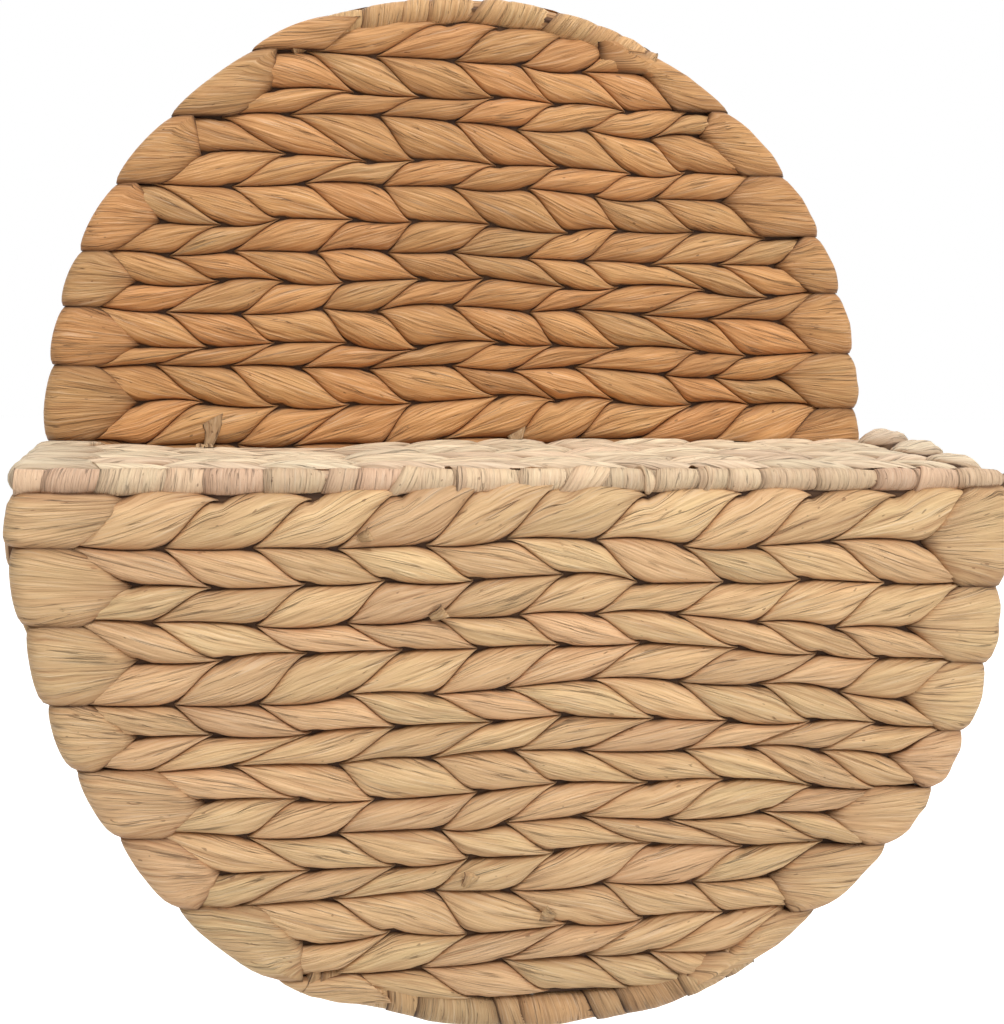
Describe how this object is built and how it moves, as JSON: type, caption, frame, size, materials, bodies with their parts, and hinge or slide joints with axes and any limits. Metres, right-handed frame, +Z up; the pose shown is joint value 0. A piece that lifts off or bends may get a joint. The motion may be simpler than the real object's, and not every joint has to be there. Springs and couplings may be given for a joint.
{
  "type": "lidded woven wall basket",
  "caption": "Wall-hung basket of twined leaf on a wire frame: round back panel, half-round pocket below and a flat hinged lid closing the pocket.",
  "frame": {"origin": "on the wall plane behind the middle of the back panel, at the height of the lid's middle", "axes": "+Z up, +Y into the wall, +X to the right seen from the front"},
  "size_m": [0.4038, 0.134, 0.4312],
  "materials": {
    "back_leaf": "dried water hyacinth leaf, warm tan, twined and left natural",
    "front_leaf": "dried water hyacinth leaf, pale straw, twined and left natural",
    "lid_leaf": "dried water hyacinth leaf, palest cream, twined and left natural",
    "wrap_leaf": "dried leaf wound round bare wire",
    "tie_leaf": "twisted dried leaf, knotted",
    "frame_wire": "plain drawn steel wire, hidden in the weave"
  },
  "bodies": {
    "basket": {"back_course_1": "back_leaf", "back_course_2": "back_leaf", "back_course_3": "back_leaf", "back_course_4": "back_leaf", "back_course_5": "back_leaf", "back_course_6": "back_leaf", "back_course_7": "back_leaf", "back_course_8": "back_leaf", "back_course_9": "back_leaf", "back_course_10": "back_leaf", "back_course_11": "back_leaf", "back_course_12": "back_leaf", "back_course_13": "back_leaf", "back_frame": "frame_wire", "back_top_wrap": "wrap_leaf", "back_bottom_wrap": "wrap_leaf", "front_course_1": "front_leaf", "front_course_2": "front_leaf", "front_course_3": "front_leaf", "front_course_4": "front_leaf", "front_course_5": "front_leaf", "front_course_6": "front_leaf", "front_course_7": "front_leaf", "pocket_frame": "frame_wire", "front_bottom_wrap": "wrap_leaf", "rim_wrap": "lid_leaf", "side_course_1": "front_leaf", "side_course_2": "front_leaf", "side_course_3": "front_leaf", "lid_tie_1": "tie_leaf", "lid_tie_2": "tie_leaf", "lid_tie_3": "tie_leaf"},
    "lid": {"lid_course_1": "lid_leaf", "lid_course_2": "lid_leaf", "lid_course_3": "lid_leaf", "lid_frame": "frame_wire"}
  },
  "joints": [
    {"name": "lid_hinge", "type": "hinge", "parent": "basket", "child": "lid", "pos_m": [0, -0.0217, 0], "axis": [-1, 0, 0], "range_deg": [0, 88]}
  ]
}
